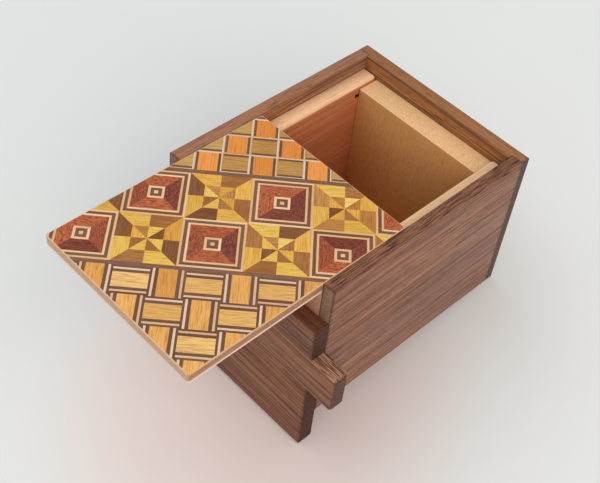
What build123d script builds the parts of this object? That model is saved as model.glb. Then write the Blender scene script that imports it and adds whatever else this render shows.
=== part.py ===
from build123d import *
import os

# Sliding-lid puzzle box in walnut with a marquetry lid, millimetres.
# Origin: centre of the closed box's underside. +X runs towards the fixed end, +Z up.
# The lid is drawn out towards -X. The sliding end panel has dropped, and its key strip
# is pushed out towards -Y, which is the state that the box is stored in.

# ---- driving dimensions ----------------------------------------------------
box_length = 92.0        # over both end panels, lid closed
box_width = 71.4
box_height = 57.0
side_board = 4.4         # long walnut boards of the outer case
fixed_board = 4.8        # board across the fixed end
sliding_board = 5.5      # strips and key of the sliding end panel
bottom_board = 4.6
housing = 1.4            # how far the long boards are let into the fixed end's board
slide_gap = 0.1          # play between faces that slide on each other
edge_round = 0.45        # rounding of the case's outer edges

inner_board = 5.7        # lining of the long sides
rail_depth = 5.5         # rails on top of the lining, from the case's inner face
rail_height = 3.4
rail_top = 51.9
block_thickness = 8.2    # blocks that close the cavity at both ends
block_top = 50.7
block_gap = 0.1          # between the fixed end's block and its panel
floor_thickness = 2.8

lid_length = 81.5
lid_travel = 48.0        # how far it is drawn out of the closed place
lid_side_gap = 0.15      # between the lid board and the case, each side
lid_bottom = 53.25
veneer = 0.4             # marquetry sheet on the lid
base_sheet = 0.7         # light sheet under the lid
lid_corner_round = 0.8

panel_drop = 14.0        # how far the sliding end panel has gone down
key_height = 14.2
key_base = 30.1          # underside of the key above the closed box's underside
key_out = 10.2           # how far the key is pushed out towards -Y
key_edge_round = 0.6

slide_thickness = 3.0    # dovetail slide behind the end panel
slide_face_half = 13.0   # half width where it meets the panel
slide_back_half = 15.0   # half width inside the block
slide_low = 4.9          # its lower end in the stored state
slide_high = 34.0
slot_play = 0.15
slot_top = 49.0

tongue_depth = 1.45      # dovetail tongue behind the key
tongue_face_half = 3.45
tongue_back_half = 4.45
tongue_low_y = -12.9     # its ends along Y in the stored state
tongue_high_y = 2.4
peg_radius = 1.5
peg_y = -5.2
peg_length = 5.4
pocket_depth = 2.6       # room for the peg behind the slot

# ---- derived places --------------------------------------------------------
half_length = box_length / 2
half_width = box_width / 2
case_inner = half_width - side_board     # inner face of the long case boards
lining_inner = case_inner - inner_board  # inner face of the lining
rail_inner = case_inner - rail_depth
case_near = -half_length + sliding_board + slide_gap
case_far = half_length - fixed_board
block_inner_near = case_near + block_thickness
block_inner_far = case_far - block_gap - block_thickness
rail_bottom = rail_top - rail_height
floor_top = bottom_board + floor_thickness
panel_back = case_near - slide_gap
lid_half = case_inner - lid_side_gap
lid_near = case_near - lid_travel
lid_far = lid_near + lid_length
core_top = box_height - veneer
key_low = key_base - panel_drop
key_high = key_low + key_height
key_middle = (key_low + key_high) / 2


def block(x_low, x_high, y_low, y_high, z_low, z_high):
    """Upright box between two corners."""
    size = (x_high - x_low, y_high - y_low, z_high - z_low)
    centre = ((x_low + x_high) / 2, (y_low + y_high) / 2, (z_low + z_high) / 2)
    return Pos(*centre) * Box(*size)


def edges_away_from(solid, axis, place):
    """Edges of a solid that don't lie wholly on the plane axis = place."""
    on_plane = solid.edges().filter_by_position(axis, place - 0.01, place + 0.01)
    return ShapeList([e for e in solid.edges() if e not in on_plane])


def side_panel(side):
    """Long walnut board, rounded along its two outer edges; side is -1 or 1."""
    low, high = sorted((side * case_inner, side * half_width))
    panel = block(case_near, case_far + housing, low, high, 0, box_height)
    outer = panel.edges().filter_by(Axis.X).sort_by(Axis.Y)
    outer = outer[:2] if side < 0 else outer[-2:]
    return fillet(outer, edge_round)


def fixed_end_panel():
    """Walnut board across the fixed end, rebated for the ends of the long boards."""
    panel = block(case_far, half_length, -half_width, half_width, 0, box_height)
    panel = fillet(edges_away_from(panel, Axis.X, case_far), edge_round)
    for side in (-1, 1):
        low, high = sorted((side * case_inner, side * half_width))
        panel -= block(case_far, case_far + housing, low, high, 0, box_height)
    return panel


def bottom_panel():
    return block(case_near, case_far, -case_inner, case_inner, 0, bottom_board)


def inner_wall(side):
    low, high = sorted((side * lining_inner, side * case_inner))
    return block(case_near, case_far, low, high, bottom_board, rail_bottom)


def inner_rail(side):
    """Rail on top of the lining, just under the lid."""
    low, high = sorted((side * rail_inner, side * case_inner))
    return block(case_near, case_far, low, high, rail_bottom, rail_top)


def dovetail(face_half, back_half, depth, low, high, face_x):
    """Upright dovetail, narrow at face_x and wide at face_x + depth."""
    section = Polyline(
        (face_x, -face_half),
        (face_x + depth, -back_half),
        (face_x + depth, back_half),
        (face_x, face_half),
        close=True,
    )
    return Pos(0, 0, low) * extrude(make_face(section), amount=high - low)


def key_dovetail(face_half, back_half, depth, y_low, y_high):
    """Level dovetail along Y behind the key, narrow at the key's back face."""
    section = Polyline(
        (panel_back, key_middle - face_half),
        (panel_back + depth, key_middle - back_half),
        (panel_back + depth, key_middle + back_half),
        (panel_back, key_middle + face_half),
        close=True,
    )
    face = make_face(Plane.XZ * section)
    return Pos(0, y_high, 0) * extrude(face, amount=y_high - y_low, dir=(0, -1, 0))


def fixed_end_block():
    return block(block_inner_far, case_far - block_gap, -lining_inner + slide_gap,
                 lining_inner - slide_gap, bottom_board, block_top)


def slide_end_block():
    """Block with the dovetail slot of the end panel and the pocket of the lock peg.

    On the real box the peg's pocket is L-shaped, so that the key locks the panel.
    Here it is the whole rectangle that the peg can reach.
    """
    body = block(case_near, block_inner_near, -lining_inner + slide_gap,
                 lining_inner - slide_gap, bottom_board, block_top)
    slot = dovetail(slide_face_half + slot_play, slide_back_half + 2 * slot_play,
                    slide_thickness + slot_play, bottom_board - 1, slot_top, panel_back)
    slot_bottom = panel_back + slide_thickness + slot_play
    room = peg_radius + 0.3
    pocket = block(slot_bottom - 1, slot_bottom + pocket_depth,
                   peg_y - room, peg_y + key_out + room,
                   key_middle - room, key_middle + panel_drop + room)
    return body - slot - pocket


def cavity_floor():
    return block(block_inner_near, block_inner_far, -lining_inner, lining_inner,
                 bottom_board, floor_top)


def end_strip(z_low, z_high, outer_end):
    """Glued strip of the sliding end panel; outer_end is its free Z face."""
    strip = block(-half_length, panel_back, -half_width, half_width, z_low, z_high)
    joint_face = z_low if outer_end == z_high else z_high
    free = edges_away_from(strip, Axis.Z, joint_face)
    free = ShapeList([e for e in free if e.center().X < panel_back - 0.01])
    return fillet(free, edge_round)


def upper_strip():
    return end_strip(key_high + slide_gap, box_height - panel_drop, box_height - panel_drop)


def lower_strip():
    return end_strip(-panel_drop, key_low - slide_gap, -panel_drop)


def end_panel_slide():
    """Dovetail slide glued behind both strips, grooved and slotted for the key."""
    slide = dovetail(slide_face_half, slide_back_half, slide_thickness,
                     slide_low, slide_high, panel_back)
    groove = key_dovetail(tongue_face_half + 0.12, tongue_back_half + 0.12,
                          tongue_depth + 0.12, -slide_back_half - 1, slide_back_half + 1)
    room = peg_radius + 0.2
    slot = block(panel_back, panel_back + slide_thickness + 1,
                 peg_y - room, peg_y + key_out + room,
                 key_middle - room, key_middle + room)
    return slide - groove - slot


def key_strip():
    """Middle strip of the end panel, which slides out sideways."""
    strip = block(-half_length, panel_back, -half_width - key_out, half_width - key_out,
                  key_low, key_high)
    ends = strip.edges().filter_by(Axis.Y, reverse=True).filter_by(Axis.X, reverse=True)
    level = ShapeList([e for e in strip.edges().filter_by(Axis.X)])
    return fillet(ends + level, key_edge_round)


def key_tongue():
    tongue = key_dovetail(tongue_face_half, tongue_back_half, tongue_depth,
                          tongue_low_y, tongue_high_y)
    hole = Pos(panel_back, peg_y, key_middle) * Rot(0, 90, 0) * Cylinder(peg_radius, 10)
    return tongue - hole


def key_lock_peg():
    """Peg in the key's tongue that reaches through the slide into the block."""
    peg = Cylinder(peg_radius, peg_length, align=(Align.CENTER, Align.CENTER, Align.MIN))
    return Pos(panel_back, peg_y, key_middle) * Rot(0, 90, 0) * peg


def lid_sheet(z_low, z_high):
    """A layer of the lid with rounded corners."""
    sheet = block(lid_near, lid_far, -lid_half, lid_half, z_low, z_high)
    return fillet(sheet.edges().filter_by(Axis.Z), lid_corner_round)


pieces = {
    "front_side_panel": side_panel(-1),
    "back_side_panel": side_panel(1),
    "fixed_end_panel": fixed_end_panel(),
    "bottom_panel": bottom_panel(),
    "front_inner_wall": inner_wall(-1),
    "back_inner_wall": inner_wall(1),
    "front_inner_rail": inner_rail(-1),
    "back_inner_rail": inner_rail(1),
    "fixed_end_block": fixed_end_block(),
    "slide_end_block": slide_end_block(),
    "cavity_floor": cavity_floor(),
    "end_panel_upper_strip": upper_strip(),
    "end_panel_lower_strip": lower_strip(),
    "end_panel_slide": end_panel_slide(),
    "key_strip": key_strip(),
    "key_tongue": key_tongue(),
    "key_lock_peg": key_lock_peg(),
    "lid_board": lid_sheet(lid_bottom + base_sheet, core_top),
    "lid_marquetry": lid_sheet(core_top, box_height),
    "lid_base_sheet": lid_sheet(lid_bottom, lid_bottom + base_sheet),
}

os.makedirs("parts", exist_ok=True)
for name, piece in pieces.items():
    export_step(piece, f"parts/{name}.step")
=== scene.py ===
"""Dresses a sliding-lid puzzle box: walnut case, light wood lining, sliding key and marquetry lid.

Laid out as an add-on: sizes and woods are properties, each group of boards has its operator.
"""

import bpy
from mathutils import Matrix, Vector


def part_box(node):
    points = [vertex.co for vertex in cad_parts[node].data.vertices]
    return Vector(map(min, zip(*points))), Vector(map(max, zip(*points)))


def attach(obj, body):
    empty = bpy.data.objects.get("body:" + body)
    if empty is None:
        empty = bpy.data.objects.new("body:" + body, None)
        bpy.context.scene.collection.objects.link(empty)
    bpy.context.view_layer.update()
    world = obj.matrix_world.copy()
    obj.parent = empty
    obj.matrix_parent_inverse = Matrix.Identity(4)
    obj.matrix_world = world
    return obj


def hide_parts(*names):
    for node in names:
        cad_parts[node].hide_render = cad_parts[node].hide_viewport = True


bl_info = {
    "name": "Puzzle box woodwork",
    "version": (1, 0, 0),
    "blender": (4, 5, 0),
    "location": "3D View > Sidebar > Puzzle box",
    "description": "Builds the boards, lining, key and marquetry lid of a wooden puzzle box",
    "category": "Object",
}

import math
import random

import bmesh
import bpy
from mathutils import Matrix, Vector

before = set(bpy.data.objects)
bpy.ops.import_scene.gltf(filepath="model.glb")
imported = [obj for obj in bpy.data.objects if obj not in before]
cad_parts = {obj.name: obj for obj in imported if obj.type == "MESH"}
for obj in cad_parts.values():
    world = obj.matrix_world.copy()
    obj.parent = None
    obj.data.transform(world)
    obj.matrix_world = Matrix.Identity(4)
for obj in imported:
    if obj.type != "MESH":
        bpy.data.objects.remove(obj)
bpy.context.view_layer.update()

MM = 0.001
SAME_PLACE = 1e-5                 # m, within which two places count as one
CUT_TOLERANCE = 1e-6              # m, for cuts along a plane
SPARE = MM                        # how far a notch reaches past its board
ROUND_SEGMENTS = 6                # faces across a rounding of a board or of the lid's corners
EDGING_SEGMENTS = 3
ARRIS_SEGMENTS = 2
ARRIS_ANGLE = math.radians(40)    # edges sharper than this are eased
SMOOTH_ANGLE = math.radians(35)   # edges flatter than this are shaded smooth
GRAIN_HEIGHT = 0.08 * MM          # height of the grain in the bump
FLOOR_SIDE = 4                    # m
AXES = {"X": (1, 0, 0), "Y": (0, 1, 0), "Z": (0, 0, 1)}
# The turn that brings each axis to X.
GRAIN_TURN = {"X": (0, 0, 0), "Y": (0, 0, -math.pi / 2), "Z": (0, math.pi / 2, 0)}


def srgb(red, green, blue):
    """A screen colour from 0 to 255 as the linear colour that the shaders use."""
    shares = (red / 255, green / 255, blue / 255)
    return tuple(s / 12.92 if s <= 0.04045 else ((s + 0.055) / 1.055) ** 2.4 for s in shares)


def length(name, description, millimetres):
    return bpy.props.FloatProperty(
        name=name, description=description, default=millimetres * MM, unit="LENGTH", precision=5)


def colour(name, description, value):
    return bpy.props.FloatVectorProperty(
        name=name, description=description, default=srgb(*value), subtype="COLOR",
        size=3, min=0, max=1)


# ---- settings ----------------------------------------------------------------


class BoardSettings(bpy.types.PropertyGroup):
    """How the edges of the boards are finished."""

    case_round: length("Case edge", "Rounding of the case's outer edges", 0.45)
    key_round: length("Key edge", "Rounding of the sliding key's ends", 1.2)
    rail_round: length("Rail edge", "Rounding of the rails' inner edges", 0.9)
    rail_corner: length("Rail corner", "Rounding of the rails' corners at the fixed end", 1.3)
    arris: length("Arris", "How far every other sharp edge is eased", 0.12)
    gap_length: length("Gap length", "Length of the gap at the top of the back inner wall", 1.7)
    gap_height: length("Gap height", "Height of that gap", 1.1)
    gap_depth: length("Gap depth", "Depth of that gap", 4.0)


class LidSettings(bpy.types.PropertyGroup):
    """Sizes of the lid's marquetry, along and across its turned pattern."""

    turn: bpy.props.FloatProperty(
        name="Turn", description="How far the pattern is turned from the lid's edges",
        subtype="ANGLE", default=math.radians(-45.8))
    corner_round: length("Corner", "Rounding of the lid's corners", 0.8)
    tile: length("Tile", "Pitch of the square tiles and star tiles", 18.44)
    band_middle: length(
        "Band middle", "How far the tile band's middle is above the lid's centre", 3.66)
    tile_shift: length(
        "Tile shift", "A joint between tiles, to the right of the lid's centre", 5.04)
    row_shift: length("Row shift", "How far the upper row of tiles sits to the right", 0.24)
    upper_border: length("Upper border", "Width of the band's upper border", 1.57)
    lower_border: length("Lower border", "Width of the band's lower border", 1.37)
    weave: length("Weave", "Pitch of the woven bars", 10.03)
    weave_shift: length("Weave shift", "A joint between woven bars, from the lid's centre", -10.15)
    brick: length("Brick", "Pitch of the bricks", 8.29)
    brick_shift: length("Brick shift", "A joint between bricks, from the lid's centre", 12.07)
    white_line: length("White line", "Width of the white line between bricks", 0.69)
    edging: length("Edging", "Width of the edging round the marquetry", 0.25)
    edging_round: length("Edging round", "Rounding of the edging's outer edge", 0.18)
    seed: bpy.props.IntProperty(
        name="Seed", description="Picks where each small piece is cut from its plank", default=11)


class CaseWoods(bpy.types.PropertyGroup):
    """Colours of the woods that the box is built from."""

    walnut: colour("Walnut", "Main colour of the case", (158, 108, 82))
    walnut_pale: colour("Pale walnut", "Lighter bands of the case", (168, 124, 100))
    walnut_dark: colour("Dark walnut", "Darker lines of the case", (100, 62, 46))
    walnut_grey: colour("Grey walnut", "Greyer clouds of the case", (140, 108, 96))
    warm_walnut: colour("Warm walnut", "Main colour of the back board", (172, 114, 76))
    warm_walnut_pale: colour("Pale warm walnut", "Lighter bands of the back board", (188, 134, 92))
    far_walnut: colour("Far walnut", "Main colour of the fixed end's board", (176, 116, 67))
    far_walnut_pale: colour("Pale far walnut", "Lighter bands of the fixed end", (190, 134, 80))
    end_walnut: colour("End walnut", "Main colour of the sliding end panel", (144, 95, 70))
    end_walnut_pale: colour("Pale end walnut", "Lighter bands of the sliding end", (168, 116, 86))
    end_walnut_dark: colour("Dark end walnut", "Darker lines of the sliding end", (82, 48, 36))
    end_walnut_grey: colour("Grey end walnut", "Greyer clouds of the sliding end", (124, 86, 68))
    pore: colour("Pores", "Open pores of the walnut", (46, 26, 20))
    end_pale: colour("Pale end grain", "Ends of the long boards", (150, 118, 98))
    end_grey: colour(
        "Grey end grain", "Ends of the fixed end's board, worn edges there and at the back",
        (92, 76, 72))
    end_dark: colour("Dark end grain", "Ends of the sliding end's strips", (74, 44, 36))
    key_end: colour("Key end grain", "Ends of the key", (94, 66, 58))
    front_rim: colour("Front rim", "Top of the front board", (147, 91, 60))
    warm_rim: colour("Warm rim", "Top of the back board", (163, 112, 80))
    far_rim: colour("Far rim", "Top of the fixed end's board", (157, 105, 65))
    # Painted shade: the dark tops of the sliding end's strips stand in for the shadow under the
    # lid.
    strip_top_shade: colour("Strip top", "Tops of the sliding end's strips", (80, 40, 22))
    key_top: colour("Key top", "Top of the key", (210, 157, 124))
    lining: colour("Lining", "Main colour of the light wood", (216, 157, 96))
    lining_end: colour("Lining ends", "End grain of the light wood", (238, 194, 142))
    lining_dark: colour("Lining streaks", "Streaks of the light wood and rails", (196, 142, 90))
    backing_dark: colour("Backing flecks", "Flecks of the fixed end's backing", (178, 126, 74))
    rail: colour("Rail", "Top faces of the rails, streaks under the lid", (250, 203, 157))
    # On the rails' upright faces this red is painted shade with reflected red light from the walls.
    red_lining: colour("Red lining", "Inner walls, and the rails' upright faces", (196, 118, 77))
    red_lining_dark: colour("Red lining streaks", "Streaks of the inner walls", (160, 92, 58))
    red_lining_end: colour("Red lining ends", "Ends of the inner walls and rails", (170, 134, 110))
    # The gap colour is painted shade for the dark inside of the gap at the top of the back inner
    # wall.
    gap: colour("Gap", "The shadowed gap at the top of the back inner wall", (52, 22, 14))
    lid_core: colour("Lid core", "Main colour of the lid's board", (174, 130, 99))
    lid_core_dark: colour("Lid core streaks", "Streaks of the lid's board", (120, 80, 58))
    lid_core_end: colour("Lid core ends", "End grain of the lid's board", (220, 178, 146))
    lid_base: colour("Lid base", "The thin sheet under the lid", (236, 204, 180))


class MarquetryWoods(bpy.types.PropertyGroup):
    """Colours of the woods in the lid's marquetry."""

    cream: colour("Cream", "Cream lines", (230, 192, 154))
    white: colour("White", "White lines of the bricks", (218, 194, 178))
    pale_line: colour("Pale line", "Light lines of the weave", (220, 188, 165))
    dark_line: colour("Dark line", "Dark lines of the weave and bricks", (112, 80, 58))
    ring_line: colour("Ring line", "Dark rings of the square tiles", (119, 87, 60))
    plum: colour("Plum", "Borders of the tile band", (132, 98, 80))
    red: colour("Red", "Light sides of the square tiles", (177, 95, 57))
    red_brown: colour("Red brown", "Middle sides of the square tiles", (158, 84, 55))
    red_dark: colour("Dark red", "Dark sides of the square tiles", (127, 65, 47))
    amber: colour("Amber", "Amber pieces of the star tiles", (224, 172, 74))
    yellow: colour("Yellow", "Yellow pieces of the star tiles", (224, 182, 81))
    straw: colour("Straw", "Palest pieces of the star tiles", (231, 194, 101))
    brown: colour("Brown", "Brown pieces of the star tiles", (165, 111, 60))
    dark_brown: colour("Dark brown", "Darkest pieces of the star tiles", (130, 82, 45))
    olive_brown: colour("Olive brown", "Palest dark pieces of the star tiles", (186, 131, 68))
    honey: colour("Honey", "Level bars of the weave", (230, 185, 114))
    apricot: colour("Apricot", "Upright bars of the weave", (227, 169, 92))
    orange: colour("Orange", "Upright bricks", (224, 145, 66))
    olive: colour("Olive", "Level bricks", (190, 149, 83))
    edging: colour("Edging", "Edging round the marquetry", (216, 174, 134))


class StageSettings(bpy.types.PropertyGroup):
    """Floor, light and camera."""

    floor: colour("Floor", "Colour of the floor", (229, 229, 227))
    # The warmer floor round the box is painted light: warm light bounced off the wood, painted into
    # the floor's colour.
    floor_painted_bounce: colour("Floor near the box", "Colour of the floor round the box", (230, 217, 212))
    painted_bounce_middle: bpy.props.FloatVectorProperty(
        name="Floor middle", description="Middle of the warmer floor round the box",
        subtype="TRANSLATION", size=3, default=(-0.047, -0.014, -0.012))
    painted_bounce_inner: length("Floor inner", "How far the warmer floor keeps its full colour", 34)
    painted_bounce_outer: length("Floor outer", "Where the warmer floor has faded away", 82)
    backdrop: colour("Backdrop", "Colour behind the floor", (226, 228, 227))
    ambient: bpy.props.FloatProperty(
        name="Ambient", description="Strength of the light from all round", default=0.50, min=0)
    light_size: length("Light size", "Side of each of the two soft lights", 1700)
    window_power: bpy.props.FloatProperty(
        name="Window", description="Power of the soft light behind the box", default=12.0,
        min=0, unit="POWER")
    window_place: bpy.props.FloatVectorProperty(
        name="Window place", description="Where the light behind the box hangs",
        subtype="TRANSLATION", size=3, default=(-0.38, 0.80, 1.60))
    window_tint: colour("Window tint", "Colour of the light behind the box", (228, 246, 255))
    fill_power: bpy.props.FloatProperty(
        name="Fill", description="Power of the soft light before the box", default=20.2,
        min=0, unit="POWER")
    fill_place: bpy.props.FloatVectorProperty(
        name="Fill place", description="Where the light before the box hangs",
        subtype="TRANSLATION", size=3, default=(-0.54, -1.30, 1.12))
    fill_tint: colour("Fill tint", "Colour of the light before the box", (255, 248, 242))
    floor_tilt: bpy.props.FloatProperty(
        name="Floor tilt", description="How far the box leans on its dropped end panel",
        subtype="ANGLE", default=math.radians(9.30))
    floor_height: length("Floor height", "Height of the floor under the box's middle", -7.53)
    camera_place: bpy.props.FloatVectorProperty(
        name="Camera", description="Where the camera stands", subtype="TRANSLATION", size=3,
        default=(-0.19566, -0.15651, 0.29057))
    camera_turn: bpy.props.FloatVectorProperty(
        name="Camera turn", description="How the camera is turned", subtype="EULER", size=3,
        default=(math.radians(42.249), math.radians(-4.931), math.radians(-43.433)))
    focal_length: bpy.props.FloatProperty(
        name="Lens", description="Focal length of the lens, in millimetres", default=66.86)


# ---- shader nodes ------------------------------------------------------------


def add_node(tree, kind, inputs, **settings):
    """Adds a shader node. inputs maps sockets to values or to other nodes' outputs."""
    node = tree.nodes.new("ShaderNode" + kind)
    for name, value in settings.items():
        setattr(node, name, value)
    for socket, value in inputs.items():
        if isinstance(value, bpy.types.NodeSocket):
            tree.links.new(value, node.inputs[socket])
        else:
            node.inputs[socket].default_value = value
    return node


def reckon(tree, operation, *values):
    """The result of a Math node."""
    return add_node(tree, "Math", dict(enumerate(values)), operation=operation).outputs[0]


def reckon_vector(tree, operation, *values, output="Vector"):
    """The result of a Vector Math node, which is its "Value" for a distance or dot product."""
    node = add_node(tree, "VectorMath", dict(enumerate(values)), operation=operation)
    return node.outputs[output]


def product(tree, first, second):
    return reckon(tree, "MULTIPLY", first, second)


def times_plus(tree, value, factor, rest):
    """value * factor + rest"""
    return reckon(tree, "MULTIPLY_ADD", value, factor, rest)


def step_between(tree, value, low, high):
    """0 below low, 1 above high and smooth between; high may be the lower one."""
    inputs = {"Value": value, 1: low, 2: high, 3: 0.0, 4: 1.0}
    return add_node(tree, "MapRange", inputs, interpolation_type="SMOOTHSTEP").outputs[0]


def rgba(value):
    """Adds the alpha that a colour socket wants; outputs of other nodes pass through."""
    return value if isinstance(value, bpy.types.NodeSocket) else (*value, 1)


def layered(tree, tint, *layers):
    """Lays colours over tint in turn; a layer is its share from 0 to 1, strength and colour."""
    for share, strength, layer in layers:
        inputs = {0: product(tree, share, strength), 6: rgba(tint), 7: rgba(layer)}
        tint = add_node(tree, "Mix", inputs, data_type="RGBA").outputs[2]
    return tint


def shaded(tint, shares):
    """A colour with its red, green and blue taken times these shares."""
    return tuple(min(1.0, part * share) for part, share in zip(tint, shares))


def figure(tree, place, width, run, detail=2.0):
    """Noise that is width mm wide and run mm long along the grain, about 0.5 on average."""
    squeezed = reckon_vector(tree, "MULTIPLY", place, (1 / run, 1 / width, 1 / width))
    inputs = {"Vector": squeezed, "Scale": 1.0, "Detail": detail, "Roughness": 0.55}
    return add_node(tree, "TexNoise", inputs).outputs[0]


def patches(tree, place, width, run, low, high, detail=2.0):
    """Soft patches of a figure: 0 where its noise is below low and 1 where it is above high."""
    return step_between(tree, figure(tree, place, width, run, detail), low, high)


def waver(tree, place, width, run, reach):
    """Bends straight grain to and fro over reach mm, in waves run mm long."""
    sway = times_plus(tree, figure(tree, place, width, run, detail=1.0), reach, -reach / 2)
    sideways = add_node(tree, "CombineXYZ", {1: sway, 2: sway}).outputs[0]
    return reckon_vector(tree, "ADD", place, sideways)


def new_material(name):
    """An empty node material and its node tree."""
    material = bpy.data.materials.new(name)
    material.use_nodes = True
    material.node_tree.nodes.clear()
    return material, material.node_tree


def close_material(tree, base, roughness, height, bump_strength, specular=0.25):
    """Finishes a wood material from its colour, roughness and height."""
    bump = add_node(tree, "Bump", {
        "Height": height, "Strength": bump_strength, "Distance": GRAIN_HEIGHT})
    surface = add_node(tree, "BsdfPrincipled", {
        "Base Color": base, "Roughness": roughness, "Normal": bump.outputs[0],
        "Specular IOR Level": specular})
    add_node(tree, "OutputMaterial", {"Surface": surface.outputs[0]})


def object_place(tree):
    """Object coordinates, in metres."""
    return add_node(tree, "TexCoord", {}).outputs["Object"]


def plank_place(tree, grain, name, step):
    """Object coordinates in mm, turned so that X runs along the grain.

    Each name is cut from its own place in the plank, a whole number of steps away, in mm.
    """
    shift = tuple(step * part for part in random.Random(name).sample(range(1, 30), 3))
    inputs = {"Vector": object_place(tree), "Location": shift, "Rotation": GRAIN_TURN[grain],
              "Scale": (1 / MM, 1 / MM, 1 / MM)}
    return add_node(tree, "Mapping", inputs).outputs[0]


def facing(tree, axis, low, high):
    """1 on faces that look along an axis of the piece, 0 on those that look aside.

    low and high are the cosines of the angles between which it changes.
    """
    normal = add_node(tree, "TexCoord", {}).outputs["Normal"]
    along = reckon_vector(tree, "DOT_PRODUCT", normal, AXES[axis], output="Value")
    return step_between(tree, reckon(tree, "ABSOLUTE", along), low, high)


def edge_share(tree, low, high, width):
    """1 on the edges of a board with these corners, fading to 0 within width of them."""
    offset = reckon_vector(tree, "SUBTRACT", object_place(tree), (low + high) / 2)
    away = reckon_vector(tree, "ABSOLUTE", offset)
    depth = reckon_vector(tree, "SUBTRACT", (high - low) / 2, away)
    x, y, z = add_node(tree, "SeparateXYZ", {0: depth}).outputs
    # The middle one of the three depths is 0 on the edges alone.
    inner = reckon(tree, "MINIMUM", reckon(tree, "MAXIMUM", x, y), z)
    middle = reckon(tree, "MAXIMUM", reckon(tree, "MINIMUM", x, y), inner)
    return step_between(tree, middle, width, 0.0)


def end_share(tree, grain, low, high, width):
    """1 at both ends of a board with these corners, fading to 0 within width of them."""
    axis = "XYZ".index(grain)
    along = add_node(tree, "SeparateXYZ", {0: object_place(tree)}).outputs[axis]
    offset = reckon(tree, "SUBTRACT", along, (low[axis] + high[axis]) / 2)
    half = (high[axis] - low[axis]) / 2
    return step_between(tree, reckon(tree, "ABSOLUTE", offset), half - width, half - width / 3)


# ---- woods -------------------------------------------------------------------

# Figures are given by their width and run in mm, and patches also by the two levels of noise
# between which they set in. A layer is given by its share, strength and colour.


def walnut(name, grain, node, tints, end, top, dashes=0.0):
    """Open-grained walnut of one board: bands, dark lines, pores, patchy edges and torn ends; paler
    edge patches are painted highlight, greyer ones are worn edges.

    tints are its main, pale, dark, grey, pore and edge colours, end is the colour of its ends and
    top tints its level faces. dashes above 0 gives more of the long pores on these. A paler edge
    colour is painted highlight on the edges, a greyer one shows worn edges.
    """
    main, pale, dark, grey, pore, wear_and_highlight = tints
    material, tree = new_material(name)
    low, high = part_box(node)
    place = waver(tree, plank_place(tree, grain, name, 97), 20, 90, 1.8)
    band = patches(tree, place, 7.0, 130, 0.38, 0.62)
    cloud = patches(tree, place, 22.0, 60, 0.36, 0.64, detail=1.0)
    streak = patches(tree, place, 1.2, 140, 0.48, 0.64)
    line = patches(tree, place, 0.50, 80, 0.50, 0.62, detail=1.5)
    speckle = patches(tree, place, 0.35, 4, 0.45, 0.62)
    fibre = figure(tree, place, 0.28, 24, detail=1.5)
    hair = step_between(tree, fibre, 0.48, 0.66)
    level = facing(tree, "Z", 0.4, 0.9)
    dash = times_plus(tree, level, dashes, figure(tree, place, 0.20, 7, detail=1.5))
    pores = step_between(tree, dash, 0.62, 0.66)
    end_grain = facing(tree, grain, 0.6, 0.95)
    edge = edge_share(tree, low, high, 0.7 * MM)
    # Patches along the edges: painted highlight where the edge colour is paler, worn edges where it
    # is greyer.
    worn = product(tree, edge, patches(tree, place, 2.0, 9.0, 0.35, 0.6))
    torn = product(tree, end_share(tree, grain, low, high, 0.9 * MM),
                   step_between(tree, fibre, 0.36, 0.50))

    cut = layered(tree, end, (speckle, 0.40, pore), (edge, 0.80, pore))
    tint = layered(tree, main, (band, 0.7, pale), (cloud, 0.55, grey), (streak, 0.50, dark),
                   (line, 0.75, dark), (hair, 0.45, dark), (level, 0.65, top),
                   (worn, 0.45, wear_and_highlight), (pores, 0.88, pore), (torn, 0.65, pore),
                   (end_grain, 0.88, cut))
    roughness = times_plus(tree, end_grain, 0.18, times_plus(tree, streak, 0.08, 0.48))
    height = times_plus(tree, pores, -0.8, product(tree, fibre, 0.35))
    close_material(tree, tint, roughness, height, 0.35, specular=0.22)
    return material


def plain_wood(name, grain, node, main, dark, end, top=None, streaks=0.5, fleck=0.35):
    """Fine-grained light wood of one board: faint streaks, fine flecks and speckled end grain.

    end is the colour of its ends, and top that of its level faces if they differ.
    """
    material, tree = new_material(name)
    low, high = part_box(node)
    place = waver(tree, plank_place(tree, grain, name, 83), 20, 60, 2.0)
    band = patches(tree, place, 5.0, 90, 0.40, 0.68)
    streak = patches(tree, place, 0.9, 45, 0.48, 0.70, detail=3.0)
    fibre = figure(tree, place, 0.30, 3.0)
    flecks = step_between(tree, fibre, 0.50, 0.66)
    end_grain = facing(tree, grain, 0.6, 0.95)
    edge = edge_share(tree, low, high, 0.5 * MM)

    if top is not None:
        main = layered(tree, main, (facing(tree, "Z", 0.2, 0.8), 1, top))
    speckled = layered(tree, end, (flecks, 0.55, dark))
    tint = layered(tree, main, (band, 0.6 * streaks, dark), (streak, streaks, dark),
                   (flecks, fleck, dark), (end_grain, 0.85, speckled), (edge, 0.40, end))
    close_material(tree, tint, times_plus(tree, streak, 0.08, 0.55), fibre, 0.22)
    return material


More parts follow.
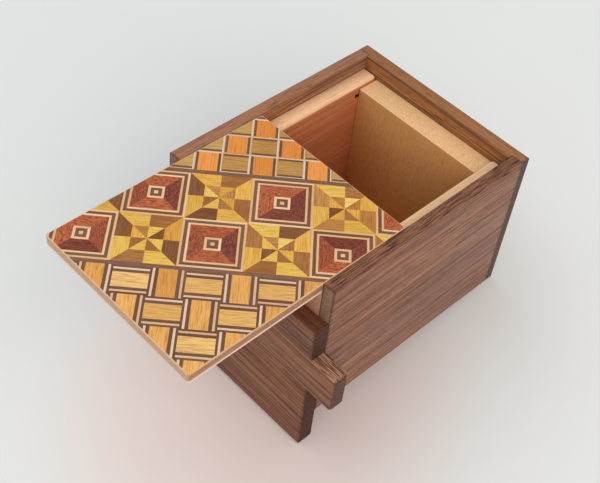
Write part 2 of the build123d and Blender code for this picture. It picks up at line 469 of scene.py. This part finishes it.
def sheet_wood(name, main, streaks, width, run, flecks, fleck_run):
    """A wood of the marquetry. Its grain follows the UV map, its tone the piece's own value."""
    material, tree = new_material(name)
    place = waver(tree, add_node(tree, "UVMap", {}, uv_map="grain").outputs[0], 6, 25, 0.8)
    tone = add_node(tree, "Attribute", {}, attribute_name="tone").outputs["Fac"]
    streak = patches(tree, place, width, run, 0.48, 0.64)
    fibre = figure(tree, place, 0.32, fleck_run)
    dark_fleck = step_between(tree, fibre, 0.50, 0.62)
    pale_fleck = step_between(tree, fibre, 0.44, 0.34)
    deep = shaded(main, (0.58, 0.42, 0.36))
    warm = shaded(main, (0.95, 0.80, 0.62))
    pale = shaded(main, (1.14, 1.14, 1.14))
    bright = shaded(main, (1.5, 1.5, 1.5))

    tint = layered(tree, warm, (step_between(tree, tone, 0.0, 1.0), 1, pale),
                   (streak, streaks, deep), (dark_fleck, flecks, deep),
                   (pale_fleck, 0.7 * flecks, bright))
    close_material(tree, tint, times_plus(tree, streak, 0.08, 0.45), fibre, 0.12)
    return material


# ---- modelling ---------------------------------------------------------------


def nothing_selected():
    """Leaves edit mode and deselects every object."""
    if bpy.context.object is not None and bpy.context.object.mode != "OBJECT":
        bpy.ops.object.mode_set(mode="OBJECT")
    bpy.ops.object.select_all(action="DESELECT")


def select_only(piece):
    """Makes a piece the only one selected, and the active one."""
    nothing_selected()
    piece.select_set(True)
    bpy.context.view_layer.objects.active = piece


def edit(piece, parts="EDGE"):
    """Opens one piece in edit mode with nothing selected."""
    select_only(piece)
    bpy.ops.object.mode_set(mode="EDIT")
    bpy.ops.mesh.select_mode(type=parts)
    bpy.ops.mesh.select_all(action="DESELECT")


def leave_edit(piece):
    """Leaves edit mode and passes the piece on."""
    bpy.ops.object.mode_set(mode="OBJECT")
    return piece


def select_edges(piece, wanted):
    """Selects the edges in edit mode for which wanted(one end, other end) is true."""
    mesh = bmesh.from_edit_mesh(piece.data)
    for line in mesh.edges:
        line.select_set(wanted(line.verts[0].co, line.verts[1].co))
    bmesh.update_edit_mesh(piece.data)


def select_faces(piece, wanted):
    """Selects the faces in edit mode for which wanted(centre) is true."""
    mesh = bmesh.from_edit_mesh(piece.data)
    for face in mesh.faces:
        face.select_set(wanted(face.calc_center_median()))
    bmesh.update_edit_mesh(piece.data)


def near(value, target):
    return abs(value - target) < SAME_PLACE


def parallel(one, other, axis):
    """True if the line between two points runs along one axis, 0 to 2."""
    return all(near(one[k], other[k]) for k in range(3) if k != axis)


def on_plane(one, other, axis, place):
    """True if the line between two points lies on the plane where the axis, 0 to 2, is at place."""
    return near(one[axis], place) and near(other[axis], place)


def place_in_mesh(piece):
    """Moves the object's place, turn and scale into its mesh."""
    select_only(piece)
    bpy.ops.object.transform_apply(location=True, rotation=True, scale=True)


def finish_board(piece, arris):
    """Eases the sharp edges that are left, and shades the piece smooth over its roundings."""
    select_only(piece)
    easing = piece.modifiers.new("arris", "BEVEL")
    easing.width = arris
    easing.segments = ARRIS_SEGMENTS
    easing.limit_method = "ANGLE"
    easing.angle_limit = ARRIS_ANGLE
    bpy.ops.object.modifier_apply(modifier=easing.name)
    bpy.ops.object.shade_smooth_by_angle(angle=SMOOTH_ANGLE)


def cube_board(name, low, high):
    """A cube between two corners, with its place in its mesh."""
    nothing_selected()
    bpy.ops.mesh.primitive_cube_add(size=1, location=(low + high) / 2, scale=high - low)
    piece = bpy.context.object
    piece.name = name
    place_in_mesh(piece)
    return piece


def cut_notch(piece, low, high):
    """Cuts the box between two corners out of a piece."""
    cutter = cube_board("notch", low, high)
    select_only(piece)
    notch = piece.modifiers.new("notch", "BOOLEAN")
    notch.operation = "DIFFERENCE"
    notch.object = cutter
    bpy.ops.object.modifier_apply(modifier=notch.name)
    bpy.data.objects.remove(cutter)


def board(name, node, roundings=(), notches=()):
    """A board on a CAD node's box.

    roundings are radii, each with the test that picks its edges, and notches are the boxes
    to cut out of the board, each as two corners.
    """
    piece = cube_board(name, *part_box(node))
    for radius, wanted in roundings:
        edit(piece)
        select_edges(piece, wanted)
        bpy.ops.mesh.bevel(offset=radius, segments=ROUND_SEGMENTS, affect="EDGES")
        leave_edit(piece)
    for notch in notches:
        cut_notch(piece, *notch)
    finish_board(piece, bpy.context.scene.box_boards.arris)
    return piece


def install(piece, body, node, material):
    """Gives a finished piece its material and its body, and hides the CAD node that it stands for.
    """
    piece.data.materials.clear()
    piece.data.materials.append(material)
    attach(piece, body)
    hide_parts(node)


def stain(node, material):
    """Gives a CAD node's own mesh a wood."""
    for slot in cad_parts[node].material_slots:
        slot.material = material


def cut_along(point, normal, **settings):
    """Cuts the selected faces in edit mode along a plane."""
    bpy.ops.mesh.bisect(plane_co=point, plane_no=normal, threshold=CUT_TOLERANCE, **settings)


def cut_all_along(point, normal, **settings):
    """Cuts all faces in edit mode along a plane."""
    bpy.ops.mesh.select_all(action="SELECT")
    cut_along(point, normal, **settings)


# ---- boards ------------------------------------------------------------------


def walnut_tints(woods):
    """Main, pale, dark, grey, pore and edge colours of the walnut in each place; the pale edge
    colours are painted highlight, the grey ones worn edges.
    """
    return {
        "front": (woods.walnut, woods.walnut_pale, woods.walnut_dark, woods.walnut_grey,
                  woods.pore, woods.walnut_pale),
        "back": (woods.warm_walnut, woods.warm_walnut_pale, woods.walnut_dark,
                 woods.walnut_grey, woods.pore, woods.end_grey),
        "fixed_end": (woods.far_walnut, woods.far_walnut_pale, woods.walnut_dark,
                      woods.far_walnut, woods.pore, woods.end_grey),
        "sliding_end": (woods.end_walnut, woods.end_walnut_pale, woods.end_walnut_dark,
                        woods.end_walnut_grey, woods.pore, woods.end_walnut_pale),
        "key": (woods.end_walnut_pale, woods.end_walnut_pale, woods.end_walnut_dark,
                woods.end_walnut_grey, woods.pore, woods.end_walnut_pale),
    }


def rebate(node, low, high):
    """The box that a long board's end takes out of the board between these corners."""
    side_low, side_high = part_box(node)
    outward = SPARE if side_low.y > 0 else -SPARE
    return (Vector((low.x - SPARE, side_low.y + min(outward, 0), low.z - SPARE)),
            Vector((side_high.x, side_high.y + max(outward, 0), high.z + SPARE)))


class PUZZLEBOX_OT_case(bpy.types.Operator):
    """Build the walnut boards of the case"""

    bl_idname = "puzzlebox.case"
    bl_label = "Case boards"

    def execute(self, context):
        sizes = context.scene.box_boards
        woods = context.scene.box_case_woods
        tints = walnut_tints(woods)
        for word, outside, top, dashes in (("front", 0, woods.front_rim, 0.11),
                                           ("back", 1, woods.warm_rim, 0.0)):
            node = word + "_side_panel"
            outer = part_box(node)[outside].y
            side = board(word + "_long_board", node, [
                (sizes.case_round, lambda a, b: parallel(a, b, 0) and near(a.y, outer))])
            install(side, "carcass", node, walnut(
                side.name, "X", node, tints[word], woods.end_pale, top, dashes))

        node = "fixed_end_panel"
        low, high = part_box(node)
        end = board("fixed_end_board", node, [
            (sizes.case_round, lambda a, b: not on_plane(a, b, 0, low.x))],
            [rebate(word + "_side_panel", low, high) for word in ("front", "back")])
        install(end, "carcass", node, walnut(
            end.name, "Y", node, tints["fixed_end"], woods.end_grey, woods.far_rim))

        node = "bottom_panel"
        bottom = board("bottom_board", node)
        install(bottom, "carcass", node, walnut(
            bottom.name, "X", node, tints["front"], woods.end_pale, woods.walnut))
        return {"FINISHED"}


def backing_gap(sizes):
    """The gap left at the top of the back inner wall, beside the fixed end's backing."""
    low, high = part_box("back_inner_wall")
    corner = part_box("fixed_end_block")[0].x
    return (Vector((corner - sizes.gap_length, low.y - SPARE, high.z - sizes.gap_height)),
            Vector((corner + sizes.arris, low.y + sizes.gap_depth, high.z + SPARE)))


def paint_gap_shade(wall, gap, material):
    """Gives the faces inside the gap, which lie in shadow, a dark material of painted shade."""
    low, high = gap
    # Just outside the gap's end and bottom, and just inside the wall's top and front.
    side = low.x - 0.1 * MM
    bottom = low.z - 0.1 * MM
    top = high.z - SPARE - 0.01 * MM
    front = low.y + SPARE + 0.05 * MM
    wall.data.materials.append(material)
    edit(wall, "FACE")
    select_faces(wall, lambda centre: centre.x > side and centre.y > front
                 and bottom < centre.z < top)
    wall.active_material_index = 1
    bpy.ops.object.material_slot_assign()
    leave_edit(wall)


class PUZZLEBOX_OT_lining(bpy.types.Operator):
    """Build the inner walls and rails, the fixed end's backing and the cavity's floor"""

    bl_idname = "puzzlebox.lining"
    bl_label = "Lining"

    def execute(self, context):
        sizes = context.scene.box_boards
        woods = context.scene.box_case_woods
        for word, inside, outside in (("front", 1, 0), ("back", 0, 1)):
            node = word + "_inner_wall"
            gaps = [backing_gap(sizes)] if word == "back" else []
            wall = board(word + "_lining_wall", node, notches=gaps)
            install(wall, "carcass", node, plain_wood(
                wall.name, "X", node, woods.red_lining, woods.red_lining_dark,
                woods.red_lining_end, streaks=0.7))
            for gap in gaps:
                # The gap's inside faces get a dark material: painted shade.
                paint_gap_shade(wall, gap, plain_wood(
                    "gap", "X", node, woods.gap, woods.pore, woods.gap))

            node = word + "_inner_rail"
            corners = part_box(node)
            low, high = corners
            inner = corners[inside].y
            outer = corners[outside].y
            rail = board(word + "_lid_rail", node, [
                (sizes.rail_corner,
                 lambda a, b: parallel(a, b, 2) and near(a.y, inner) and near(a.x, high.x)),
                (sizes.rail_round,
                 lambda a, b: on_plane(a, b, 2, high.z) and not on_plane(a, b, 1, outer)
                 and not on_plane(a, b, 0, low.x))])
            # The rails' upright faces take the inner walls' red: painted shade and reflected red
            # light on the pale rail wood, whose own colour stays on the tops.
            install(rail, "carcass", node, plain_wood(
                rail.name, "X", node, woods.red_lining, woods.lining_dark,
                woods.red_lining_end, top=woods.rail, streaks=0.35))

        node = "fixed_end_block"
        backing = board("fixed_end_backing", node)
        install(backing, "carcass", node, plain_wood(
            backing.name, "Z", node, woods.lining, woods.backing_dark, woods.lining_end,
            streaks=0.06, fleck=0.55))
        node = "cavity_floor"
        ground = board("cavity_bottom", node)
        install(ground, "carcass", node, plain_wood(
            ground.name, "X", node, woods.lining, woods.lining_dark, woods.lining_end))
        return {"FINISHED"}


class PUZZLEBOX_OT_end_panel(bpy.types.Operator):
    """Build the two glued strips of the sliding end panel"""

    bl_idname = "puzzlebox.end_panel"
    bl_label = "Sliding end panel"

    def execute(self, context):
        sizes = context.scene.box_boards
        woods = context.scene.box_case_woods
        tints = walnut_tints(woods)["sliding_end"]
        for word, joint_side in (("upper", 0), ("lower", 1)):
            node = "end_panel_" + word + "_strip"
            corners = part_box(node)
            joint = corners[joint_side].z
            strip = board(word + "_end_board", node, [
                (sizes.case_round, lambda a, b: not on_plane(a, b, 2, joint)
                 and not on_plane(a, b, 0, corners[1].x))])
            # The strips' level faces are darkened with painted shade from the lid.
            install(strip, "end_panel", node, walnut(
                strip.name, "Y", node, tints, woods.end_dark, woods.strip_top_shade))
        return {"FINISHED"}


class PUZZLEBOX_OT_key(bpy.types.Operator):
    """Build the key strip that slides out sideways"""

    bl_idname = "puzzlebox.key"
    bl_label = "Key strip"

    def execute(self, context):
        sizes = context.scene.box_boards
        woods = context.scene.box_case_woods
        node = "key_strip"
        key = board("sliding_key", node, [
            (sizes.key_round, lambda a, b: not parallel(a, b, 1))])
        install(key, "key", node, walnut(
            key.name, "Y", node, walnut_tints(woods)["key"], woods.key_end, woods.key_top, 0.13))
        return {"FINISHED"}


class PUZZLEBOX_OT_guides(bpy.types.Operator):
    """Finish the hidden slide, tongue, peg and slotted block"""

    bl_idname = "puzzlebox.guides"
    bl_label = "Hidden guides"

    def execute(self, context):
        woods = context.scene.box_case_woods
        for node, grain in (("end_panel_slide", "Z"), ("key_tongue", "Y"), ("key_lock_peg", "X"),
                            ("slide_end_block", "Z")):
            stain(node, plain_wood("guide_" + node, grain, node, woods.lining,
                                   woods.lining_dark, woods.lining_end))
        return {"FINISHED"}


class PUZZLEBOX_OT_lid_core(bpy.types.Operator):
    """Finish the lid's board and the thin sheet under it"""

    bl_idname = "puzzlebox.lid_core"
    bl_label = "Lid core"

    def execute(self, context):
        woods = context.scene.box_case_woods
        for node, main, dark, end, streaks in (
                ("lid_board", woods.lid_core, woods.lid_core_dark, woods.lid_core_end, 0.6),
                ("lid_base_sheet", woods.lid_base, woods.rail, woods.lid_base, 0.3)):
            stain(node, plain_wood(node + "_wood", "X", node, main, dark, end,
                                   streaks=streaks, fleck=0.5))
        return {"FINISHED"}


# ---- marquetry ---------------------------------------------------------------

# Woods of the marquetry: how strong their streaks are, the width and run of these in mm, how
# strong the small flecks are and the run of these.
FIGURES = {
    "cream": (0.12, 0.8, 30, 0.08, 4), "white": (0.10, 0.8, 30, 0.06, 4),
    "pale_line": (0.14, 0.8, 20, 0.10, 4), "dark_line": (0.30, 0.6, 12, 0.25, 3),
    "ring_line": (0.30, 0.6, 12, 0.25, 3), "plum": (0.40, 0.6, 12, 0.30, 3),
    "red": (0.62, 0.50, 3, 0.95, 1.2), "red_brown": (0.62, 0.50, 3, 0.95, 1.2),
    "red_dark": (0.62, 0.50, 3, 0.95, 1.2), "amber": (0.42, 0.4, 9, 0.30, 4),
    "yellow": (0.40, 0.4, 9, 0.30, 4), "straw": (0.34, 0.4, 9, 0.22, 4),
    "brown": (0.45, 0.5, 8, 0.35, 4), "dark_brown": (0.45, 0.5, 8, 0.40, 4),
    "olive_brown": (0.45, 0.5, 8, 0.35, 4), "honey": (0.58, 0.38, 7, 0.30, 4),
    "apricot": (0.55, 0.38, 7, 0.30, 4), "orange": (0.32, 0.6, 14, 0.20, 5),
    "olive": (0.45, 0.4, 14, 0.30, 4), "edging": (0.15, 0.8, 20, 0.10, 4),
}
WOOD_NAMES = list(FIGURES)
SHORT_WOODS = {"l": "red", "m": "red_brown", "k": "red_dark", "a": "amber", "y": "yellow",
               "s": "straw", "b": "brown", "d": "dark_brown", "o": "olive_brown"}
# Half sizes of the rings of a square tile, in mm, and the wood inside each.
TILE_RINGS = ((9.22, "cream"), (8.56, "ring_line"), (7.54, "cream"), (6.87, "sides"),
              (2.42, "cream"), (1.66, "ring_line"), (0.60, "cream"))
STAR_HEART = 4.56   # half size of a star tile's inner square, mm
# Lines along both sides of a woven bar from its outside, in mm; the bar takes what is left.
WEAVE_LINES = ((0.70, "dark_line"), (0.68, "pale_line"), (1.0, "dark_line"))
BRICK_LINE = 0.83   # dark line on both sides of a brick, mm
WEAVE_ROWS = 4
BRICK_ROWS = 4
PLANK_SIDE = 900    # of the plank that the small pieces are cut from, mm
# Woods of the sides of the square tiles (top, right, bottom, left), by row and column.
TILE_SIDES = {(0, -2): "lklm", (0, 0): "lkkl", (0, 2): "llll",
              (1, -3): "lmkl", (1, -1): "lklm", (1, 1): "kklm"}
# Woods of the star tiles: eight outer pieces clockwise from the top left, then eight inner.
STAR_WOODS = {(0, -1): "ababydyd" "oaoabsbs", (1, 0): "ydabybab" "osbabsdy",
              (1, -2): "ybadybyd" "oydybyba", (0, 1): "ybaoyoyo" "osoabyda",
              (0, -3): "abadybyd" "oaoabsbs"}
SIDE_USUAL = "lklm"
STAR_USUAL = "ybabydab" "osbabsoy"


def flat_piece(name, low, high):
    """A level plane between two corners, in edit mode with its face selected."""
    nothing_selected()
    centre = ((low[0] + high[0]) / 2, (low[1] + high[1]) / 2, 0)
    bpy.ops.mesh.primitive_plane_add(size=1, location=centre)
    piece = bpy.context.object
    piece.name = name
    piece.scale = (high[0] - low[0], high[1] - low[1], 1)
    place_in_mesh(piece)
    edit(piece, "FACE")
    bpy.ops.mesh.select_all(action="SELECT")
    return piece


def inset_by(distance):
    bpy.ops.mesh.inset(thickness=distance, depth=0)


def square_tile(half):
    """Nested squares with mitred corners."""
    piece = flat_piece("square_tile", (-half, -half), (half, half))
    rings = [ring for ring, wood in TILE_RINGS]
    for outer, inner in zip(rings, rings[1:]):
        inset_by((outer - inner) * MM)
    return leave_edit(piece)


def star_tile(half):
    """A square in a square, both cut into eight by the middle lines and the diagonals."""
    piece = flat_piece("star_tile", (-half, -half), (half, half))
    inset_by(half - STAR_HEART * MM)
    for way in (AXES["X"], AXES["Y"], (1, 1, 0), (1, -1, 0)):
        cut_all_along((0, 0, 0), way)
    return leave_edit(piece)


def woven_bar(half):
    """A level bar between dark and light lines."""
    piece = flat_piece("woven_bar", (-half, -half), (half, half))
    edge = half
    for line, wood in WEAVE_LINES:
        edge -= line * MM
        cut_all_along((0, edge, 0), AXES["Y"])
        cut_all_along((0, -edge, 0), AXES["Y"])
    return leave_edit(piece)


def brick(half, white, open_end=False):
    """A level brick with a dark line on both sides in a white frame.

    With open_end the frame has no left side, and the brick and its lines reach the cell's edge.
    """
    extra = white if open_end else 0
    piece = flat_piece("brick", (-half - extra, -half), (half, half))
    inset_by(white)
    line = half - white - BRICK_LINE * MM
    for place in (line, -line):
        select_faces(piece, lambda centre: abs(centre.y) < half - white
                     and -half - extra + white < centre.x < half - white)
        cut_along((0, place, 0), AXES["Y"])
    if open_end:
        cut_all_along((-half, 0, 0), AXES["X"], clear_inner=True)
    return leave_edit(piece)


def tile_wood(centre, sides):
    """Wood of a square tile's piece and the way of its grain, from its place in the tile."""
    reach = max(abs(centre.x), abs(centre.y)) / MM
    wood = [name for ring, name in TILE_RINGS if reach < ring][-1]
    level = abs(centre.y) >= abs(centre.x)
    if wood == "sides":
        side = (0 if centre.y > 0 else 2) if level else (1 if centre.x > 0 else 3)
        wood = SHORT_WOODS[sides[side]]
    return wood, "u" if level else "v"


def star_wood(centre, letters):
    """Wood and grain of a star tile's piece: eighths clockwise from the top left."""
    angle = math.degrees(math.atan2(centre.y, centre.x))
    eighth = int(((135 - angle) % 360) // 45)
    outer = max(abs(centre.x), abs(centre.y)) > STAR_HEART * MM
    wood = SHORT_WOODS[letters[eighth if outer else 8 + eighth]]
    return wood, "u" if abs(centre.y) >= abs(centre.x) else "v"


def bar_wood(centre, half, wood):
    """Wood of a woven bar's piece; the grain runs along the bar."""
    edge = half
    for line, name in WEAVE_LINES:
        edge -= line * MM
        if abs(centre.y) > edge:
            return name, "u"
    return wood, "u"


def brick_wood(centre, half, white, wood):
    """Wood of a brick's piece; the grain runs along the brick."""
    if abs(centre.y) > half - white or centre.x > half - white or centre.x < -half + white / 2:
        return "white", "u"
    if abs(centre.y) > half - white - BRICK_LINE * MM:
        return "dark_line", "u"
    return wood, "u"


def paint(piece, draws, wood_of):
    """Gives each face its wood, its place on that wood's plank and its tone.

    wood_of(centre) returns the wood's name and the way of its grain, "u" or "v".
    """
    mesh = piece.data
    grain = mesh.uv_layers.new(name="grain")
    tone = mesh.attributes.new("tone", "FLOAT", "FACE")
    for face in mesh.polygons:
        wood, way = wood_of(face.center)
        face.material_index = WOOD_NAMES.index(wood)
        along = draws.uniform(0, PLANK_SIDE)
        across = draws.uniform(0, PLANK_SIDE)
        tone.data[face.index].value = draws.uniform(0, 1)
        for corner in face.loop_indices:
            point = mesh.vertices[mesh.loops[corner].vertex_index].co / MM
            u, v = (point.x, point.y) if way == "u" else (point.y, point.x)
            grain.data[corner].uv = (u + along, v + across)


def lay(model, place, draws, wood_of, upright=False):
    """A painted copy of a flat piece with its own mesh, moved to place and turned if asked."""
    twin = model.copy()
    twin.data = model.data.copy()
    bpy.context.scene.collection.objects.link(twin)
    for wood in WOOD_NAMES:
        twin.data.materials.append(bpy.data.materials["marquetry_" + wood])
    paint(twin, draws, wood_of)
    turn = Matrix.Rotation(math.pi / 2 if upright else 0, 4, "Z")
    twin.data.transform(Matrix.Translation((*place, 0)) @ turn)
    return twin


def cells(start, pitch, reach):
    """Numbers of the cells that lie between -reach and reach, counted from a joint at start."""
    return range(math.floor((-reach - start) / pitch), math.ceil((reach - start) / pitch))


def band_of_tiles(lid, draws, reach):
    """Two rows of square and star tiles by turns."""
    half = lid.tile / 2
    square, star = square_tile(half), star_tile(half)
    laid = []
    for row in (0, 1):
        height = lid.band_middle + (half if row == 0 else -half)
        shift = lid.tile_shift + (lid.row_shift if row == 0 else 0)
        for column in cells(lid.tile_shift, lid.tile, reach):
            place = (shift + (column + 0.5) * lid.tile, height)
            if (column + row) % 2 == 0:
                sides = TILE_SIDES.get((row, column), SIDE_USUAL)
                laid.append(lay(square, place, draws, lambda c: tile_wood(c, sides)))
            else:
                letters = STAR_WOODS.get((row, column), STAR_USUAL)
                laid.append(lay(star, place, draws, lambda c: star_wood(c, letters)))
    return laid, [square, star]


def borders(lid, draws, reach):
    """The long strips above and below the band of tiles."""
    upper = lid.band_middle + lid.tile
    lower = lid.band_middle - lid.tile
    laid, models = [], []
    for low, high in ((upper, upper + lid.upper_border), (lower - lid.lower_border, lower)):
        model = leave_edit(flat_piece("border", (-reach, low), (reach, high)))
        laid.append(lay(model, (0, 0), draws, lambda c: ("plum", "u")))
        models.append(model)
    return laid, models


def woven_bars(lid, draws, reach):
    """Rows of level and upright bars by turns, below the band."""
    half = lid.weave / 2
    model = woven_bar(half)
    top = lid.band_middle - lid.tile - lid.lower_border
    laid = []
    for row in range(WEAVE_ROWS):
        for column in cells(lid.weave_shift, lid.weave, reach):
            upright = (column + row) % 2 == 1
            wood = "apricot" if upright else "honey"
            place = (lid.weave_shift + (column + 0.5) * lid.weave, top - (row + 0.5) * lid.weave)
            laid.append(lay(model, place, draws, lambda c: bar_wood(c, half, wood), upright))
    return laid, [model]


def bricks(lid, draws, reach):
    """Rows of level and upright bricks by turns, above the band."""
    half, white = lid.brick / 2, lid.white_line / 2
    closed, open_ended = brick(half, white), brick(half, white, open_end=True)
    bottom = lid.band_middle + lid.tile + lid.upper_border
    laid = []
    for row in range(BRICK_ROWS):
        for column in cells(lid.brick_shift, lid.brick, reach):
            upright = (column + row) % 2 == 1
            wood = "orange" if upright else "olive"
            model = open_ended if upright and row == 0 else closed
            place = (lid.brick_shift + (column + 0.5) * lid.brick, bottom + (row + 0.5) * lid.brick)
            laid.append(lay(model, place, draws, lambda c: brick_wood(c, half, white, wood),
                            upright))
    return laid, [closed, open_ended]


def join(pieces, name):
    nothing_selected()
    for piece in pieces:
        piece.select_set(True)
    bpy.context.view_layer.objects.active = pieces[0]
    bpy.ops.object.join()
    pieces[0].name = name
    pieces[0].data.name = name
    return pieces[0]


def edging_ring(lid, low, high, draws):
    """The edging round the lid, and the planes that trim the pattern to fit inside it."""
    ring = flat_piece("edging", low, high)
    bpy.ops.mesh.bevel(offset=lid.corner_round, segments=ROUND_SEGMENTS, affect="VERTICES")
    bpy.ops.mesh.select_all(action="SELECT")
    inset_by(lid.edging)
    mesh = bmesh.from_edit_mesh(ring.data)
    inner = max(mesh.faces, key=lambda face: face.calc_area())
    corners = [vertex.co.copy() for vertex in inner.verts]
    upright = Vector((0, 0, 1 if inner.normal.z > 0 else -1))
    planes = [(one, (other - one).cross(upright).normalized())
              for one, other in zip(corners, corners[1:] + corners[:1])]
    select_faces(ring, lambda centre: (centre - inner.calc_center_median()).length < MM)
    bpy.ops.mesh.delete(type="FACE")
    leave_edit(ring)
    return lay(ring, (0, 0), draws, lambda c: ("edging", "u")), ring, planes


class PUZZLEBOX_OT_marquetry(bpy.types.Operator):
    """Build the lid's marquetry: bricks, a band of tiles and woven bars in an edging"""

    bl_idname = "puzzlebox.marquetry"
    bl_label = "Marquetry"

    def execute(self, context):
        lid = context.scene.box_lid
        woods = context.scene.box_marquetry_woods
        for name, figures in FIGURES.items():
            sheet_wood("marquetry_" + name, getattr(woods, name), *figures)
        draws = random.Random(lid.seed)
        low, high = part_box("lid_marquetry")
        reach = math.hypot(high.x - low.x, high.y - low.y) / 2
        laid, models = [], []
        for part in (band_of_tiles, borders, woven_bars, bricks):
            copies, originals = part(lid, draws, reach)
            laid += copies
            models += originals
        edging, ring, planes = edging_ring(lid, low, high, draws)
        for model in models + [ring]:
            bpy.data.objects.remove(model)

        sheet = join(laid, "marquetry_sheet")
        centre = ((low.x + high.x) / 2, (low.y + high.y) / 2, 0)
        sheet.data.transform(Matrix.Translation(centre) @ Matrix.Rotation(lid.turn, 4, "Z"))
        edit(sheet, "FACE")
        for point, normal in planes:
            cut_all_along(point, normal, clear_outer=True)
        leave_edit(sheet)
        join([sheet, edging], "marquetry_sheet")
        sheet.data.transform(Matrix.Translation((0, 0, high.z)))
        solid = sheet.modifiers.new("thickness", "SOLIDIFY")
        solid.thickness = high.z - low.z
        solid.offset = -1
        bpy.ops.object.modifier_apply(modifier=solid.name)

        # The outer edge lies a whole edging beyond one of the planes.
        beyond = 0.9 * lid.edging
        edit(sheet)
        select_edges(sheet, lambda a, b: on_plane(a, b, 2, high.z) and all(
            any((end - point).dot(normal) > beyond for point, normal in planes) for end in (a, b)))
        bpy.ops.mesh.bevel(offset=lid.edging_round, segments=EDGING_SEGMENTS, affect="EDGES")
        leave_edit(sheet)
        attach(sheet, "lid")
        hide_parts("lid_marquetry")
        return {"FINISHED"}


# ---- stage -------------------------------------------------------------------


def floor_card(setting):
    """The floor that the box leans on, with warm bounce light from the wood painted in a patch
    round the box.
    """
    nothing_selected()
    bpy.ops.mesh.primitive_plane_add(size=FLOOR_SIDE)
    floor = bpy.context.object
    floor.name = "floor"
    floor.matrix_world = (Matrix.Translation((0, 0, setting.floor_height))
                          @ Matrix.Rotation(-setting.floor_tilt, 4, "Y"))
    place_in_mesh(floor)
    material, tree = new_material("floor_card")
    away = reckon_vector(tree, "DISTANCE", object_place(tree), setting.painted_bounce_middle,
                         output="Value")
    # Painted bounce light: the floor is tinted warmer near the box.
    warm = step_between(tree, away, setting.painted_bounce_outer, setting.painted_bounce_inner)
    surface = add_node(tree, "BsdfDiffuse", {
        "Color": layered(tree, setting.floor, (warm, 1, setting.floor_painted_bounce))})
    add_node(tree, "OutputMaterial", {"Surface": surface.outputs[0]})
    floor.data.materials.append(material)


def room(setting):
    """A world with even light from all round and a plain backdrop."""
    world = bpy.data.worlds.new("room")
    world.use_nodes = True
    tree = world.node_tree
    tree.nodes.clear()
    seen = add_node(tree, "LightPath", {}).outputs["Is Camera Ray"]
    light = add_node(tree, "Background", {"Color": (1, 1, 1, 1), "Strength": setting.ambient})
    back = add_node(tree, "Background", {"Color": rgba(setting.backdrop), "Strength": 1.0})
    shown = add_node(tree, "MixShader", {0: seen, 1: light.outputs[0], 2: back.outputs[0]})
    add_node(tree, "OutputWorld", {"Surface": shown.outputs[0]})
    return world


def soft_light(name, setting):
    """A large square lamp that looks at the box."""
    nothing_selected()
    place = Vector(getattr(setting, name + "_place"))
    bpy.ops.object.light_add(
        type="AREA", location=place, rotation=place.to_track_quat("Z", "Y").to_euler())
    lamp = bpy.context.object
    lamp.name = name
    lamp.data.shape = "SQUARE"
    lamp.data.size = setting.light_size
    lamp.data.energy = getattr(setting, name + "_power")
    lamp.data.color = getattr(setting, name + "_tint")


class PUZZLEBOX_OT_stage(bpy.types.Operator):
    """Set up the floor, the light and the camera"""

    bl_idname = "puzzlebox.stage"
    bl_label = "Stage"

    def execute(self, context):
        setting = context.scene.box_stage
        floor_card(setting)
        context.scene.world = room(setting)
        for name in ("window", "fill"):
            soft_light(name, setting)

        nothing_selected()
        bpy.ops.object.camera_add(location=setting.camera_place, rotation=setting.camera_turn)
        camera = context.object
        camera.name = "camera"
        camera.data.lens = setting.focal_length
        context.scene.camera = camera
        context.scene.view_settings.view_transform = "Standard"
        return {"FINISHED"}


# ---- add-on ------------------------------------------------------------------

SETTINGS = {
    "box_boards": BoardSettings,
    "box_lid": LidSettings,
    "box_case_woods": CaseWoods,
    "box_marquetry_woods": MarquetryWoods,
    "box_stage": StageSettings,
}
OPERATORS = (PUZZLEBOX_OT_case, PUZZLEBOX_OT_lining, PUZZLEBOX_OT_end_panel, PUZZLEBOX_OT_key,
             PUZZLEBOX_OT_guides, PUZZLEBOX_OT_lid_core, PUZZLEBOX_OT_marquetry,
             PUZZLEBOX_OT_stage)


class PUZZLEBOX_PT_sidebar(bpy.types.Panel):
    """Lists the steps that build the box"""

    bl_idname = "PUZZLEBOX_PT_sidebar"
    bl_label = "Puzzle box"
    bl_space_type = "VIEW_3D"
    bl_region_type = "UI"
    bl_category = "Puzzle box"

    def draw(self, context):
        for operator in OPERATORS:
            self.layout.operator(operator.bl_idname)
        for name, group in SETTINGS.items():
            self.layout.label(text=group.__name__)
            for key in group.__annotations__:
                self.layout.prop(getattr(context.scene, name), key)


CLASSES = (*SETTINGS.values(), *OPERATORS, PUZZLEBOX_PT_sidebar)


def register():
    for item in CLASSES:
        bpy.utils.register_class(item)
    for name, group in SETTINGS.items():
        setattr(bpy.types.Scene, name, bpy.props.PointerProperty(type=group))


def unregister():
    for name in SETTINGS:
        delattr(bpy.types.Scene, name)
    for item in reversed(CLASSES):
        bpy.utils.unregister_class(item)


def main():
    """Builds the box and its stage step by step."""
    register()
    steps = bpy.ops.puzzlebox
    for build in (steps.case, steps.lining, steps.end_panel, steps.key, steps.guides,
                  steps.lid_core, steps.marquetry, steps.stage):
        build()
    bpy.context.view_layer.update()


if __name__ == "__main__":
    main()
